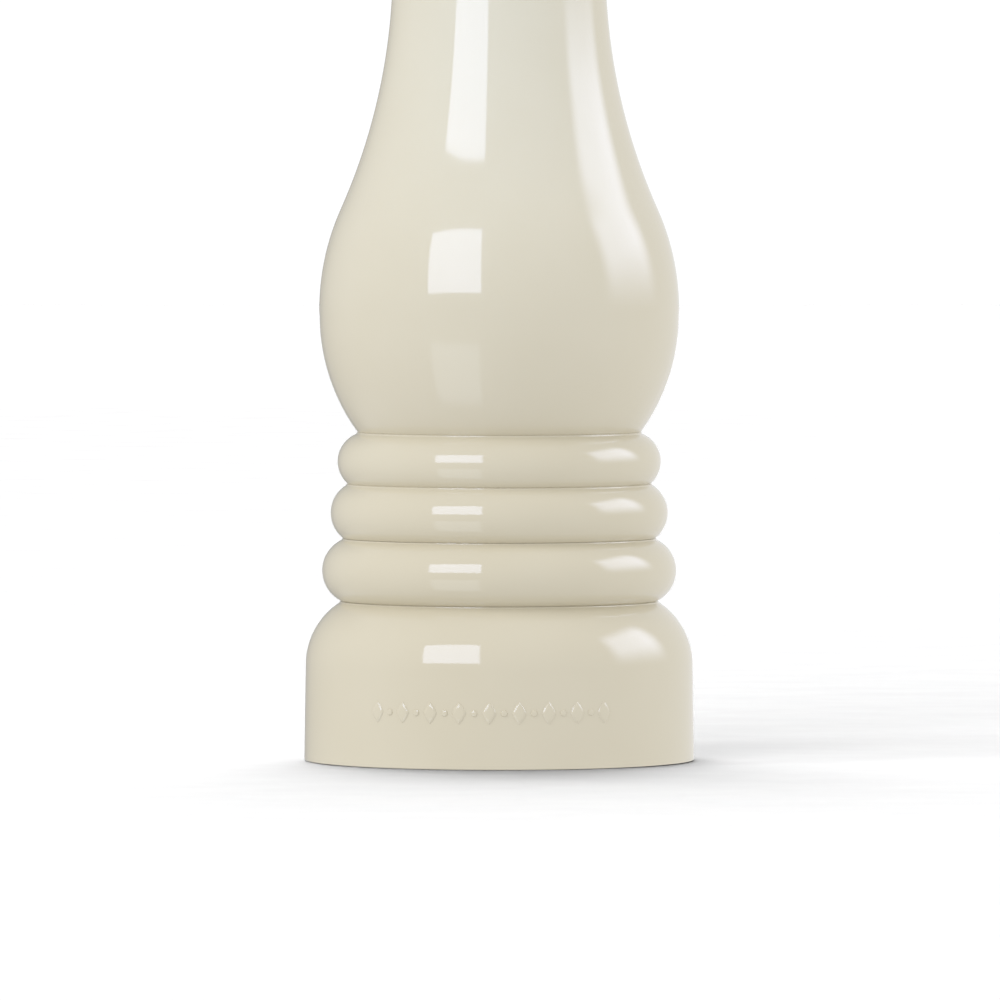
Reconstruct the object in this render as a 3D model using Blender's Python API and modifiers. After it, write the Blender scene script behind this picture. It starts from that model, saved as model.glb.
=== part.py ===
"""A pepper mill: a turned, glossy plastic mill with a ceramic burr mechanism in its foot.

Run it with: blender --background --python part.py
The mill stands on z = 0 with its axis on Z. Sizes below are in millimetres, and MM turns them into metres.
An outline is a list of (radius, height) points that a Screw modifier turns about Z.
"""

import math

import bmesh
import bpy
from mathutils import Matrix

MM = 0.001
MERGE_M = 0.00001
CASING_SEGMENTS = 36
PART_SEGMENTS = 28
SMALL_SEGMENTS = 16
GAP = 0.3  # between two pieces that would touch

# The casing's outline: a near-straight foot, a round shoulder, three beads, a belly, a neck and a lip.
FOOT_RADIUS = 32.04
FOOT_TOP_RADIUS = 31.80
FOOT_EDGE = 0.4
WALL = 3.0
SHOULDER = (19.67, 15.76, 12.14)  # centre radius, centre height, radius of the round
BEADS = ((23.55, 31.23, 5.556), (22.40, 40.72, 5.306), (21.70, 49.16, 4.868))
GROOVES = (25.95, 25.58, 24.92, 23.24)  # from the foot up
GROOVE_WALL = 2.55
LOWER_BELLY = (-2.93, 73.11, 32.44)
UPPER_BELLY_HEIGHT = 74.1
UPPER_BELLY_RADIUS = 29.58
UPPER_BELLY_ROUND = 40.49
BELLY_SLOPE = math.radians(24.05)  # where the belly's round turns into the neck's
NECK_ROUND = 98.84
FLARE_ROUND = 45.0
FLARE_RISE = 14.6
LIP_ROUND = 1.8
LIP_END = math.radians(82)

# Inside the casing.
BORE = 13.5  # the peppercorn hopper's bore
SLEEVE_OUTER = 15.0
SLEEVE_TOP = 112.0
RING_SEAT = 14.7
RING_SEAT_DEPTH = 4.3

# The head: one bead, a cove and a ball.
SEAM = 0.6
HEAD_BEAD = (16.1, 5.9)  # centre radius, radius of the round
HEAD_BEAD_START = math.radians(-70)
HEAD_GROOVE = 18.9
WAIST = 14.8
COVE_ROUND = 7.0
COVE_END = math.radians(248)
BALL_RADIUS = 22.6
BALL_HEIGHT = 186.6
BALL_CAVITY = (185.6, 18.4)  # centre height, radius
PLUG_BORE = 11.3
CAP_RADIUS = 8.0
CAP_TOP = 210.0

# The mechanism, from the table up.
PLATE_BOTTOM = 2.0
PLATE_TOP = 4.1
PLATE_RADIUS = 28.5
PLATE_HOLE = 19.2
MECHANISM_BOTTOM = PLATE_TOP + GAP
SLEEVE_FOOT_TOP = 6.4
FLANGE_RADIUS = 21.6
FLANGE_TOP = 16.8
BARREL_RADIUS = 18.6
BARREL_TOP = 50.2
BURR_BOTTOM = 6.3
BURR_TOP = 17.9
BURR_OUTER = 15.7
SHAFT_SIDE = 6.0
SHAFT_TOP = 171.0
SQUARE_HOLE = 6.6
STUD_RADIUS = 2.0
STUD_BOTTOM = 3.3
SQUARE_BOTTOM = 9.0
KNOB_RADIUS = 8.0
KNOB_BOTTOM = 1.9
KNOB_TOP = 5.2
HUB_BOTTOM = KNOB_TOP + GAP
HUB_TOP = 18.3
WASHER_TOP = 19.3
FEEDER_BOTTOM = 28.3
FEEDER_TOP = 41.9
CLIP_BOTTOM = 42.3
CLIP_TOP = 43.2
SPIDER_BOTTOM = 45.4
SPIDER_TOP = 49.4
SCREW_CIRCLE = 25.9
SCREW_COUNT = 3
SCREW_RADIUS = 0.95
SCREW_TOP = 10.8
CLEARANCE_HOLE = 1.4
PILOT_HOLE = 1.25
BURR_TEETH = 24

PARTS = bpy.data.collections.new("pepper_mill")
CUTTERS = bpy.data.collections.new("cutters")


# Scene and material helpers


def clear_scene():
    for obj in list(bpy.data.objects):
        bpy.data.objects.remove(obj)
    for collection in (PARTS, CUTTERS):
        bpy.context.scene.collection.children.link(collection)


def material(name, colour, roughness, metallic=0.0):
    made = bpy.data.materials.new(name)
    made.use_nodes = True
    shader = made.node_tree.nodes["Principled BSDF"]
    shader.inputs["Base Color"].default_value = (*colour, 1.0)
    shader.inputs["Roughness"].default_value = roughness
    shader.inputs["Metallic"].default_value = metallic
    return made


def axis_empty(name, parent=None):
    """The turning and sliding axis of one moving group, which is the mill's own axis."""
    empty = bpy.data.objects.new(name, None)
    PARTS.objects.link(empty)
    empty.parent = parent
    return empty


def add_object(name, mesh, finish=None, parent=None):
    """A node if it has a finish, and otherwise a cutter."""
    obj = bpy.data.objects.new(name, mesh)
    if finish is None:
        CUTTERS.objects.link(obj)
        obj.hide_render = True
        obj.display_type = "WIRE"
    else:
        PARTS.objects.link(obj)
        mesh.materials.append(finish)
        obj.parent = parent
    return obj


def settled_mesh(obj):
    """The mesh that an object's modifiers make, as plain data."""
    graph = bpy.context.evaluated_depsgraph_get()
    return bpy.data.meshes.new_from_object(obj.evaluated_get(graph))


# Shape helpers


def arc(centre_r, centre_z, radius, start, end, count):
    """Points on a round in the outline's plane. Angles are in radians from the outward direction."""
    angles = [start + (end - start) * i / (count - 1) for i in range(count)]
    return [(centre_r + radius * math.cos(a), centre_z + radius * math.sin(a)) for a in angles]


def round_between(circle, r_start, r_end, count):
    """The outer side of a circle, from where it has one radius from the axis to where it has another."""
    centre_r, centre_z, radius = circle
    start = -math.acos((r_start - centre_r) / radius)
    end = math.acos((r_end - centre_r) / radius)
    return arc(centre_r, centre_z, radius, start, end, count)


def ring_outline(outer, inner):
    """A closed outline from an outer and an inner side, both listed upwards."""
    return list(reversed(outer)) + inner


def washer_outline(inner_r, outer_r, bottom, top):
    return ring_outline([(outer_r, bottom), (outer_r, top)], [(inner_r, bottom), (inner_r, top)])


def turned(name, outline, finish=None, parent=None, segments=PART_SEGMENTS):
    """Turns an outline about Z. One that starts and ends on the axis is a solid, and any other is a ring."""
    points = [(r * MM, 0.0, z * MM) for r, z in outline]
    edges = [(i, i + 1) for i in range(len(points) - 1)]
    if outline[0][0] > 0:
        edges.append((len(points) - 1, 0))
    mesh = bpy.data.meshes.new(name)
    mesh.from_pydata(points, edges, [])
    obj = add_object(name, mesh, finish, parent)
    screw = obj.modifiers.new("turn", "SCREW")
    screw.axis = "Z"
    screw.angle = math.tau
    screw.steps = segments
    screw.render_steps = segments
    screw.use_merge_vertices = True
    screw.merge_threshold = MERGE_M
    screw.use_smooth_shade = True
    return obj


def rod(name, radius, bottom, top, x=0.0, y=0.0, segments=SMALL_SEGMENTS):
    """A cylinder to cut or join with."""
    mesh = bpy.data.meshes.new(name)
    form = bmesh.new()
    place = Matrix.Translation((x * MM, y * MM, (bottom + top) / 2 * MM))
    bmesh.ops.create_cone(
        form,
        cap_ends=True,
        segments=segments,
        radius1=radius * MM,
        radius2=radius * MM,
        depth=(top - bottom) * MM,
        matrix=place,
    )
    form.to_mesh(mesh)
    form.free()
    return add_object(name, mesh)


def block(name, size, centre, turn=0.0, finish=None, parent=None):
    """A box with its centre turned about Z by an angle."""
    mesh = bpy.data.meshes.new(name)
    form = bmesh.new()
    place = (
        Matrix.Rotation(turn, 4, "Z")
        @ Matrix.Translation([c * MM for c in centre])
        @ Matrix.Diagonal([s * MM for s in size] + [1.0])
    )
    bmesh.ops.create_cube(form, size=1.0, matrix=place)
    form.to_mesh(mesh)
    form.free()
    return add_object(name, mesh, finish, parent)


def twisted(name, section, heights, finish=None, parent=None):
    """Extrudes an outline upwards in steps. section(share) gives its points at a share of the height."""
    first = section(0.0)
    mesh = bpy.data.meshes.new(name)
    form = bmesh.new()
    order = form.verts.layers.int.new("order")
    base = [form.verts.new((x * MM, y * MM, heights[0] * MM)) for x, y in first]
    for i, vert in enumerate(base):
        vert[order] = i
    face = form.faces.new(base)
    for height in heights[1:]:
        share = (height - heights[0]) / (heights[-1] - heights[0])
        points = section(share)
        below = face
        made = bmesh.ops.extrude_face_region(form, geom=[below])["geom"]
        face = next(g for g in made if isinstance(g, bmesh.types.BMFace))
        if height > heights[1] and below.is_valid:
            bmesh.ops.delete(form, geom=[below], context="FACES_ONLY")
        for vert in (g for g in made if isinstance(g, bmesh.types.BMVert)):
            x, y = points[vert[order]]
            vert.co = (x * MM, y * MM, height * MM)
    bmesh.ops.recalc_face_normals(form, faces=form.faces)
    form.to_mesh(mesh)
    form.free()
    return add_object(name, mesh, finish, parent)


def boolean(target, tool, operation):
    modifier = target.modifiers.new(operation.lower(), "BOOLEAN")
    modifier.operation = operation
    modifier.object = tool
    modifier.solver = "EXACT"


def cut(target, tool):
    boolean(target, tool, "DIFFERENCE")


def join(target, tool):
    boolean(target, tool, "UNION")


def screw_places():
    """(x, y) of each base screw."""
    angles = [math.radians(90) + math.tau * i / SCREW_COUNT for i in range(SCREW_COUNT)]
    return [(SCREW_CIRCLE * math.cos(a), SCREW_CIRCLE * math.sin(a)) for a in angles]


# Outlines of the casing and the head


def belly_and_neck():
    """(end radius, end height) of the upper belly's round and of the neck's narrowest point."""
    bend_z = UPPER_BELLY_HEIGHT + UPPER_BELLY_ROUND * math.sin(BELLY_SLOPE)
    bend_r = UPPER_BELLY_RADIUS - UPPER_BELLY_ROUND * (1 - math.cos(BELLY_SLOPE))
    neck_z = bend_z + NECK_ROUND * math.sin(BELLY_SLOPE)
    neck_r = bend_r - NECK_ROUND * (1 - math.cos(BELLY_SLOPE))
    return bend_r, bend_z, neck_r, neck_z


def lip():
    """(centre radius, centre height) of the lip's round, and the flare's angle where it starts."""
    _, _, neck_r, neck_z = belly_and_neck()
    slope = math.asin(FLARE_RISE / FLARE_ROUND)
    start_r = neck_r + FLARE_ROUND * (1 - math.cos(slope))
    start_z = neck_z + FLARE_RISE
    return start_r - LIP_ROUND * math.cos(slope), start_z + LIP_ROUND * math.sin(slope), slope


def casing_outer():
    """The casing's outer side, upwards from the foot."""
    points = [(FOOT_RADIUS - FOOT_EDGE, 0.0), (FOOT_RADIUS, FOOT_EDGE)]
    shoulder_end = math.acos((GROOVES[0] - SHOULDER[0]) / SHOULDER[2])
    points += arc(*SHOULDER, 0.0, shoulder_end, 5)
    for bead, below, above in zip(BEADS, GROOVES, GROOVES[1:]):
        points += round_between(bead, below, above, 6)
    start = -math.acos((GROOVES[-1] - LOWER_BELLY[0]) / LOWER_BELLY[2])
    points += arc(*LOWER_BELLY, start, math.radians(-3), 5)
    upper_r = UPPER_BELLY_RADIUS - UPPER_BELLY_ROUND
    points += arc(upper_r, UPPER_BELLY_HEIGHT, UPPER_BELLY_ROUND, 0.0, BELLY_SLOPE, 5)
    _, _, neck_r, neck_z = belly_and_neck()
    points += arc(neck_r + NECK_ROUND, neck_z, NECK_ROUND, math.pi + BELLY_SLOPE, math.pi, 6)[1:]
    lip_r, lip_z, slope = lip()
    points += arc(neck_r + FLARE_ROUND, neck_z, FLARE_ROUND, math.pi, math.pi - slope, 3)[1:]
    points += arc(lip_r, lip_z, LIP_ROUND, -slope, LIP_END, 4)[1:]
    return points


def body_top():
    return lip()[1] + LIP_ROUND * math.sin(LIP_END)


def casing_inner():
    """The casing's inner side, upwards from the foot: a wall's depth behind the outer side, then the bore."""
    top = body_top()
    shoulder_r, shoulder_z, shoulder_round = SHOULDER
    _, groove_1, groove_2, groove_3 = (groove - GROOVE_WALL for groove in GROOVES)
    points = [(FOOT_TOP_RADIUS - WALL + 0.2, 0.0)]
    points += arc(shoulder_r, shoulder_z, shoulder_round - WALL, 0.0, math.radians(58), 4)
    points += [(groove_1, 26.5), (groove_1, 36.5), (groove_2, 45.5)]
    points += [(groove_3, 53.0), (groove_3, 56.0)]
    points += [(25.0, 63.0), (26.5, 73.5), (25.2, 84.0), (20.0, 97.0)]
    points += [(SLEEVE_OUTER + GAP, 104.0), (SLEEVE_OUTER + GAP, SLEEVE_TOP + GAP), (BORE, SLEEVE_TOP + GAP)]
    points += [(BORE, top - RING_SEAT_DEPTH), (RING_SEAT, top - RING_SEAT_DEPTH), (RING_SEAT, top)]
    return points


def head_outer(bottom):
    """The head's outer side, upwards from its rim to the edge of the cap's recess."""
    bead_r, bead_round = HEAD_BEAD
    bead_z = bottom - bead_round * math.sin(HEAD_BEAD_START)
    bead_end = math.acos((HEAD_GROOVE - bead_r) / bead_round)
    points = arc(bead_r, bead_z, bead_round, HEAD_BEAD_START, bead_end, 7)
    cove_r = WAIST + COVE_ROUND
    reach = BALL_RADIUS + COVE_ROUND
    drop = math.sqrt(reach**2 - cove_r**2)
    touch = math.atan2(drop, cove_r)
    cove_z = BALL_HEIGHT - drop
    points += arc(cove_r, cove_z, COVE_ROUND, COVE_END, math.pi - touch, 5)
    rim = math.acos((CAP_RADIUS + GAP) / BALL_RADIUS)
    points += arc(0.0, BALL_HEIGHT, BALL_RADIUS, -touch, rim, 10)[1:]
    return points


def head_inner(bottom):
    """The head's inner side, upwards: two steps, the plug's bore, the ball's hollow and the cap's recess."""
    cavity_z, cavity_round = BALL_CAVITY
    stem_r = STUD_RADIUS + GAP
    points = [(16.9, bottom), (16.9, bottom + 0.9), (16.0, bottom + 0.9), (16.0, bottom + 3.4)]
    points += [(PLUG_BORE, bottom + 3.4)]
    low = -math.acos(PLUG_BORE / cavity_round)
    high = math.acos(stem_r / cavity_round)
    points += arc(0.0, cavity_z, cavity_round, low, high, 8)
    points += [(stem_r, 206.2), (CAP_RADIUS + GAP, 206.2)]
    return points


# The casing and what is fixed in it


def build_casing(plastic):
    """The casing, with a boss for each base screw that a rib ties to its wall."""
    outline = ring_outline(casing_outer(), casing_inner())
    shell = turned("body_shell", outline, plastic, segments=CASING_SEGMENTS)
    bottom = SLEEVE_FOOT_TOP + GAP
    top = 14.0
    boss_radius = 2.2
    rib_size = (3.4, 2.4, top - bottom)
    rib_centre = (SCREW_CIRCLE + 1.9, 0.0, (top + bottom) / 2)
    for i, (x, y) in enumerate(screw_places()):
        join(shell, rod(f"boss_{i}", boss_radius, bottom, top, x, y))
        join(shell, block(f"rib_{i}", rib_size, rib_centre, math.atan2(y, x)))
        cut(shell, rod(f"pilot_{i}", PILOT_HOLE, bottom - 1.0, SCREW_TOP + 0.4, x, y))


def build_sleeve(plastic):
    """The hopper's tube, with a bay for the mechanism and a foot that the base plate clamps to the casing."""
    skirt_r = FLANGE_RADIUS + 1.7
    bay_r = BARREL_RADIUS + 1.7
    ledge = FLANGE_TOP + 1.8
    outer = [(PLATE_RADIUS, MECHANISM_BOTTOM), (PLATE_RADIUS, SLEEVE_FOOT_TOP), (skirt_r, SLEEVE_FOOT_TOP)]
    outer += [(skirt_r, ledge), (bay_r, ledge), (bay_r, 51.0)]
    outer += [(SLEEVE_OUTER, 54.6), (SLEEVE_OUTER, SLEEVE_TOP)]
    inner = [(FLANGE_RADIUS + GAP, MECHANISM_BOTTOM), (FLANGE_RADIUS + GAP, FLANGE_TOP + GAP)]
    inner += [(BARREL_RADIUS + GAP, FLANGE_TOP + GAP), (BARREL_RADIUS + GAP, 50.6)]
    inner += [(BORE, 54.0), (BORE, SLEEVE_TOP)]
    sleeve = turned("hopper_sleeve", ring_outline(outer, inner), plastic)
    for i, (x, y) in enumerate(screw_places()):
        cut(sleeve, rod(f"sleeve_clearance_{i}", CLEARANCE_HOLE, 3.0, 8.0, x, y))


def build_base_plate(plastic):
    plate = turned("base_plate", washer_outline(PLATE_HOLE, PLATE_RADIUS, PLATE_BOTTOM, PLATE_TOP), plastic)
    for i, (x, y) in enumerate(screw_places()):
        cut(plate, rod(f"clearance_{i}", CLEARANCE_HOLE, 1.0, 5.0, x, y))
        cut(plate, rod(f"counterbore_{i}", 2.3, 1.0, 3.2, x, y))


def build_screws(steel):
    """Pan-head screws with a cross recess, which share one mesh."""
    outline = [(0.0, SCREW_TOP), (0.5, SCREW_TOP), (SCREW_RADIUS, SCREW_TOP - 1.0), (SCREW_RADIUS, 2.9)]
    outline += [(1.95, 2.9), (1.95, 2.2), (1.4, 1.8), (0.0, 1.8)]
    pattern = turned("screw_pattern", outline, segments=SMALL_SEGMENTS)
    for i in range(2):
        cut(pattern, block(f"recess_{i}", (2.0, 0.5, 1.0), (0.0, 0.0, 2.0), math.pi / 2 * i))
    mesh = settled_mesh(pattern)
    mesh.materials.append(steel)
    for i, (x, y) in enumerate(screw_places()):
        screw = bpy.data.objects.new(f"base_screw_{i + 1}", mesh)
        screw.location = (x * MM, y * MM, 0.0)
        PARTS.objects.link(screw)


def build_glide_ring(plastic):
    """An L-shaped ring in the casing's mouth that the head turns on."""
    top = body_top()
    outer = [(RING_SEAT - GAP, top - RING_SEAT_DEPTH + GAP), (RING_SEAT - GAP, top + GAP)]
    outer += [(16.5, top + GAP), (16.5, top + 1.1)]
    inner = [(BORE, top - RING_SEAT_DEPTH + GAP), (BORE, top + 1.1)]
    turned("glide_ring", ring_outline(outer, inner), plastic)


def build_housing(plastic):
    """The mechanism's housing: a flange, a barrel, a seat for the outer burr and a three-armed bridge."""
    outer = [(FLANGE_RADIUS, MECHANISM_BOTTOM), (FLANGE_RADIUS, FLANGE_TOP)]
    outer += [(BARREL_RADIUS, FLANGE_TOP), (BARREL_RADIUS, BARREL_TOP)]
    seat = BURR_OUTER + GAP
    inner = [(18.2, MECHANISM_BOTTOM), (18.2, BURR_BOTTOM), (seat, BURR_BOTTOM), (seat, BURR_TOP + GAP)]
    inner += [(12.6, BURR_TOP + GAP), (16.7, 25.0), (16.7, BARREL_TOP)]
    housing = turned("mechanism_housing", ring_outline(outer, inner), plastic)
    middle = (SPIDER_BOTTOM + SPIDER_TOP) / 2
    arms = 3
    arm_size = (9.5, 3.0, SPIDER_TOP - SPIDER_BOTTOM)
    bush_hole = 6.9
    for i in range(arms):
        join(housing, block(f"arm_{i}", arm_size, (12.9, 0.0, middle), math.tau * i / arms))
    join(housing, rod("bridge", 9.0, SPIDER_BOTTOM - 0.2, SPIDER_TOP - 0.2, segments=PART_SEGMENTS))
    cut(housing, rod("bush_seat", bush_hole, SPIDER_BOTTOM - 1.0, SPIDER_TOP + 1.0, segments=PART_SEGMENTS))


def toothed_section(tip_low, tip_high, depth, twist):
    """Points of a ring of saw teeth, as a function of the share of its height."""

    def section(share):
        tip = tip_low + (tip_high - tip_low) * share
        points = []
        for i in range(BURR_TEETH):
            for phase, radius in ((0.0, tip - depth), (0.3, tip)):
                angle = math.tau * (i + phase) / BURR_TEETH + twist * share
                points.append((radius * math.cos(angle), radius * math.sin(angle)))
        return points

    return section


def levels(bottom, top, count):
    return [bottom + (top - bottom) * i / (count - 1) for i in range(count)]


def build_outer_burr(ceramic):
    """The fixed ceramic ring, with saw teeth inside that widen downwards."""
    outline = [(0.0, BURR_TOP), (BURR_OUTER, BURR_TOP), (BURR_OUTER, BURR_BOTTOM), (0.0, BURR_BOTTOM)]
    burr = turned("outer_burr", outline, ceramic, segments=48)
    teeth = toothed_section(14.1, 12.5, 0.9, math.radians(-16))
    cut(burr, twisted("outer_teeth", teeth, levels(BURR_BOTTOM - 1.0, BURR_TOP + 1.0, 4)))


def build_retainer(plastic):
    turned("burr_retainer", washer_outline(13.6, 17.9, MECHANISM_BOTTOM, BURR_BOTTOM - GAP), plastic)


def build_bush(plastic):
    outer = [(6.6, 43.6), (6.6, SPIDER_TOP + GAP), (8.6, SPIDER_TOP + GAP), (8.6, SPIDER_TOP + 1.3)]
    inner = [(4.4, 43.6), (4.4, SPIDER_TOP + 1.3)]
    turned("shaft_bush", ring_outline(outer, inner), plastic)


# The spindle, which the head turns


def build_shaft(metal, axis):
    """A square rod with a pointed top, a groove for its clip and a round stud at its foot."""
    height = SHAFT_TOP - SQUARE_BOTTOM
    size = (SHAFT_SIDE, SHAFT_SIDE, height)
    shaft = block("drive_shaft", size, (0.0, 0.0, SQUARE_BOTTOM + height / 2), 0.0, metal, axis)
    bevel = shaft.modifiers.new("soften", "BEVEL")
    bevel.width = 0.3 * MM
    bevel.segments = 1
    join(shaft, rod("stud", STUD_RADIUS, STUD_BOTTOM, SQUARE_BOTTOM + 1.0))
    cut(shaft, turned("clip_groove", washer_outline(2.7, 6.0, CLIP_BOTTOM - 0.2, CLIP_TOP + 0.2)))


def build_feeder(plastic, axis):
    """The screw that cracks the peppercorns and drives them down, with three wings on a hub."""
    hub = 6.6
    wings = 3
    turn = math.radians(75)
    half_way = 0.57 * turn  # puts the gaps between the wings under the bridge's gaps
    flank = ((11, 0.02), (8, 0.5), (6, 0.95))
    rising = [(-24, 0.0)] + [(-degrees, height) for degrees, height in flank]
    profile = rising + [(0, 1.0)] + list(reversed(flank)) + [(24, 0.0), (42, 0.0)]

    def section(share):
        reach = 13.2 - 4.0 * share - hub
        points = []
        for i in range(wings):
            for degrees, height in profile:
                angle = math.tau * i / wings + math.radians(degrees) + turn * share - half_way
                radius = hub + reach * height
                points.append((radius * math.cos(angle), radius * math.sin(angle)))
        return points

    feeder = twisted("feeder", section, levels(FEEDER_BOTTOM, FEEDER_TOP, 13), plastic, axis)
    cut(feeder, block("feeder_hole", (SQUARE_HOLE, SQUARE_HOLE, 20.0), (0.0, 0.0, 35.0)))


def build_clip(steel, axis):
    clip = turned("retaining_clip", washer_outline(3.0, 6.2, CLIP_BOTTOM, CLIP_TOP), steel, axis, segments=24)
    cut(clip, block("clip_mouth", (8.0, 3.6, 4.0), (4.0, 0.0, (CLIP_BOTTOM + CLIP_TOP) / 2)))


def build_spring(steel, axis):
    """The spring that pushes the inner burr down, away from the outer one."""
    wire = 0.45
    coil = 5.75
    turns = 4.5
    per_turn = 11
    low = WASHER_TOP + GAP + wire
    high = FEEDER_BOTTOM - GAP - wire
    curve = bpy.data.curves.new("pressure_spring", "CURVE")
    curve.dimensions = "3D"
    curve.bevel_depth = wire * MM
    curve.bevel_resolution = 2
    curve.use_fill_caps = True
    count = int(turns * per_turn) + 1
    spline = curve.splines.new("POLY")
    spline.points.add(count - 1)
    for i, point in enumerate(spline.points):
        share = i / (count - 1)
        angle = math.tau * turns * share
        height = low + (high - low) * share
        point.co = (coil * MM * math.cos(angle), coil * MM * math.sin(angle), height * MM, 1.0)
    add_object("pressure_spring", curve, steel, axis)


# The inner burr's carriage, which the adjuster lifts


def build_carriage(ceramic, plastic, steel, axis):
    teeth = toothed_section(12.4, 8.1, 0.9, math.radians(30))
    burr = twisted("inner_burr", teeth, levels(HUB_BOTTOM + 1.3, BURR_TOP, 5), ceramic, axis)
    cut(burr, rod("burr_bore", 6.4, 3.0, 20.0, segments=24))
    outer = [(8.6, HUB_BOTTOM), (8.6, HUB_BOTTOM + 1.0), (6.1, HUB_BOTTOM + 1.0), (6.1, HUB_TOP)]
    outline = [(0.0, HUB_TOP)] + list(reversed(outer)) + [(0.0, HUB_BOTTOM)]
    hub = turned("burr_hub", outline, plastic, axis, segments=24)
    cut(hub, block("hub_hole", (SQUARE_HOLE, SQUARE_HOLE, 30.0), (0.0, 0.0, 12.0)))
    turned("spring_washer", washer_outline(4.7, 7.4, HUB_TOP + GAP, WASHER_TOP), steel, axis, segments=24)


def build_adjuster(plastic, brass, axis):
    """The dial under the mill that sets the grind, and the nut in it that runs on the shaft's stud."""
    ribs = 18

    def section(_share):
        points = []
        for i in range(ribs):
            for phase, depth in ((0.0, 0.0), (0.45, 0.0), (0.6, 0.5), (0.85, 0.5)):
                angle = math.tau * (i + phase) / ribs
                radius = KNOB_RADIUS - depth
                points.append((radius * math.cos(angle), radius * math.sin(angle)))
        return points

    knob = twisted("adjuster_knob", section, [KNOB_BOTTOM, KNOB_TOP], plastic, axis)
    join(knob, block("grip", (12.0, 2.4, 1.4), (0.0, 0.0, KNOB_BOTTOM - 0.1)))
    cut(knob, rod("nut_pocket", 4.1, 2.9, 6.0, segments=6))
    cut(knob, rod("stud_relief", 2.4, 2.35, 3.5))
    nut = rod("nut_blank", 3.75, 3.25, 4.9, segments=6)
    cut(nut, rod("nut_bore", STUD_RADIUS + GAP, 2.0, 6.0))
    add_object("adjuster_nut", settled_mesh(nut), brass, axis)


# The head, which lifts off to fill the mill


def build_head(plastic, insert_plastic, rubber, steel, axis):
    bottom = body_top() + SEAM
    turned("head_shell", ring_outline(head_outer(bottom), head_inner(bottom)), plastic, axis, CASING_SEGMENTS)
    build_plug(insert_plastic, bottom + 1.0, axis)
    grip = arc(5.2, 141.7, 0.85, math.pi / 2, -3 * math.pi / 2, 9)[:-1]
    turned("grip_ring", grip, rubber, axis, segments=24)
    rise = 2.1
    dome_round = (CAP_RADIUS**2 + rise**2) / (2 * rise)
    edge = math.acos(CAP_RADIUS / dome_round)
    dome = arc(0.0, CAP_TOP - dome_round, dome_round, math.pi / 2, edge, 5)
    pin = [(CAP_RADIUS, 206.5), (STUD_RADIUS, 206.5), (STUD_RADIUS, 200.5), (0.0, 200.5)]
    cap = [(0.0, CAP_TOP)] + dome[1:] + pin
    turned("head_cap", cap, steel, axis)


def build_plug(plastic, flange_bottom, axis):
    """The head's plug: a spigot that centres in the casing's mouth, a flange and the shaft's socket."""
    spigot_bottom = 138.3
    flange_top = flange_bottom + 2.1
    outline = [(0.0, 177.0), (10.0, 177.0), (11.0, 176.0), (11.0, flange_top), (15.7, flange_top)]
    outline += [(15.7, flange_bottom), (12.9, flange_bottom), (12.9, 139.3), (11.9, spigot_bottom)]
    outline += [(11.4, spigot_bottom), (11.4, 147.0), (8.8, 147.0), (8.8, spigot_bottom)]
    outline += [(0.0, spigot_bottom)]
    plug = turned("head_plug", outline, plastic, axis)
    cut(plug, block("socket", (SQUARE_HOLE, SQUARE_HOLE, 40.0), (0.0, 0.0, 152.4)))
    cut(plug, rod("grip_groove", 6.4, 140.5, 142.9, segments=24))


def main():
    clear_scene()
    casing = material("cream_gloss_plastic", (0.69, 0.63, 0.48), 0.08)
    dark = material("grey_mechanism_plastic", (0.10, 0.10, 0.11), 0.45)
    white = material("white_mechanism_plastic", (0.80, 0.80, 0.78), 0.4)
    ceramic = material("white_ceramic", (0.85, 0.84, 0.80), 0.35)
    aluminium = material("drawn_aluminium", (0.75, 0.76, 0.78), 0.3, 1.0)
    steel = material("stainless_steel", (0.62, 0.61, 0.59), 0.28, 1.0)
    brass = material("brass", (0.75, 0.55, 0.22), 0.3, 1.0)
    rubber = material("black_rubber", (0.03, 0.03, 0.03), 0.7)

    spindle = axis_empty("spindle_axis")
    carriage = axis_empty("burr_carriage_axis", spindle)
    adjuster = axis_empty("adjuster_axis", carriage)
    head = axis_empty("head_axis", spindle)

    build_casing(casing)
    build_sleeve(casing)
    build_base_plate(dark)
    build_screws(steel)
    build_glide_ring(white)
    build_housing(dark)
    build_outer_burr(ceramic)
    build_retainer(white)
    build_bush(white)
    build_shaft(aluminium, spindle)
    build_feeder(white, spindle)
    build_clip(steel, spindle)
    build_spring(steel, spindle)
    build_carriage(ceramic, white, steel, carriage)
    build_adjuster(dark, brass, adjuster)
    build_head(casing, white, rubber, steel, head)


main()
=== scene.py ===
"""The looks of a glossy ivory pepper mill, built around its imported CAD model.

Sizes are in millimetres in the row frame, and MM turns them into metres. A turned piece's outline is a
list of (radius, height) points. The casing, the head and most of the inner pieces are made again here on the
CAD's outlines, with finer steps and rounded edges.
"""

import math

import bmesh
import bpy
from mathutils import Matrix, Vector

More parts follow.
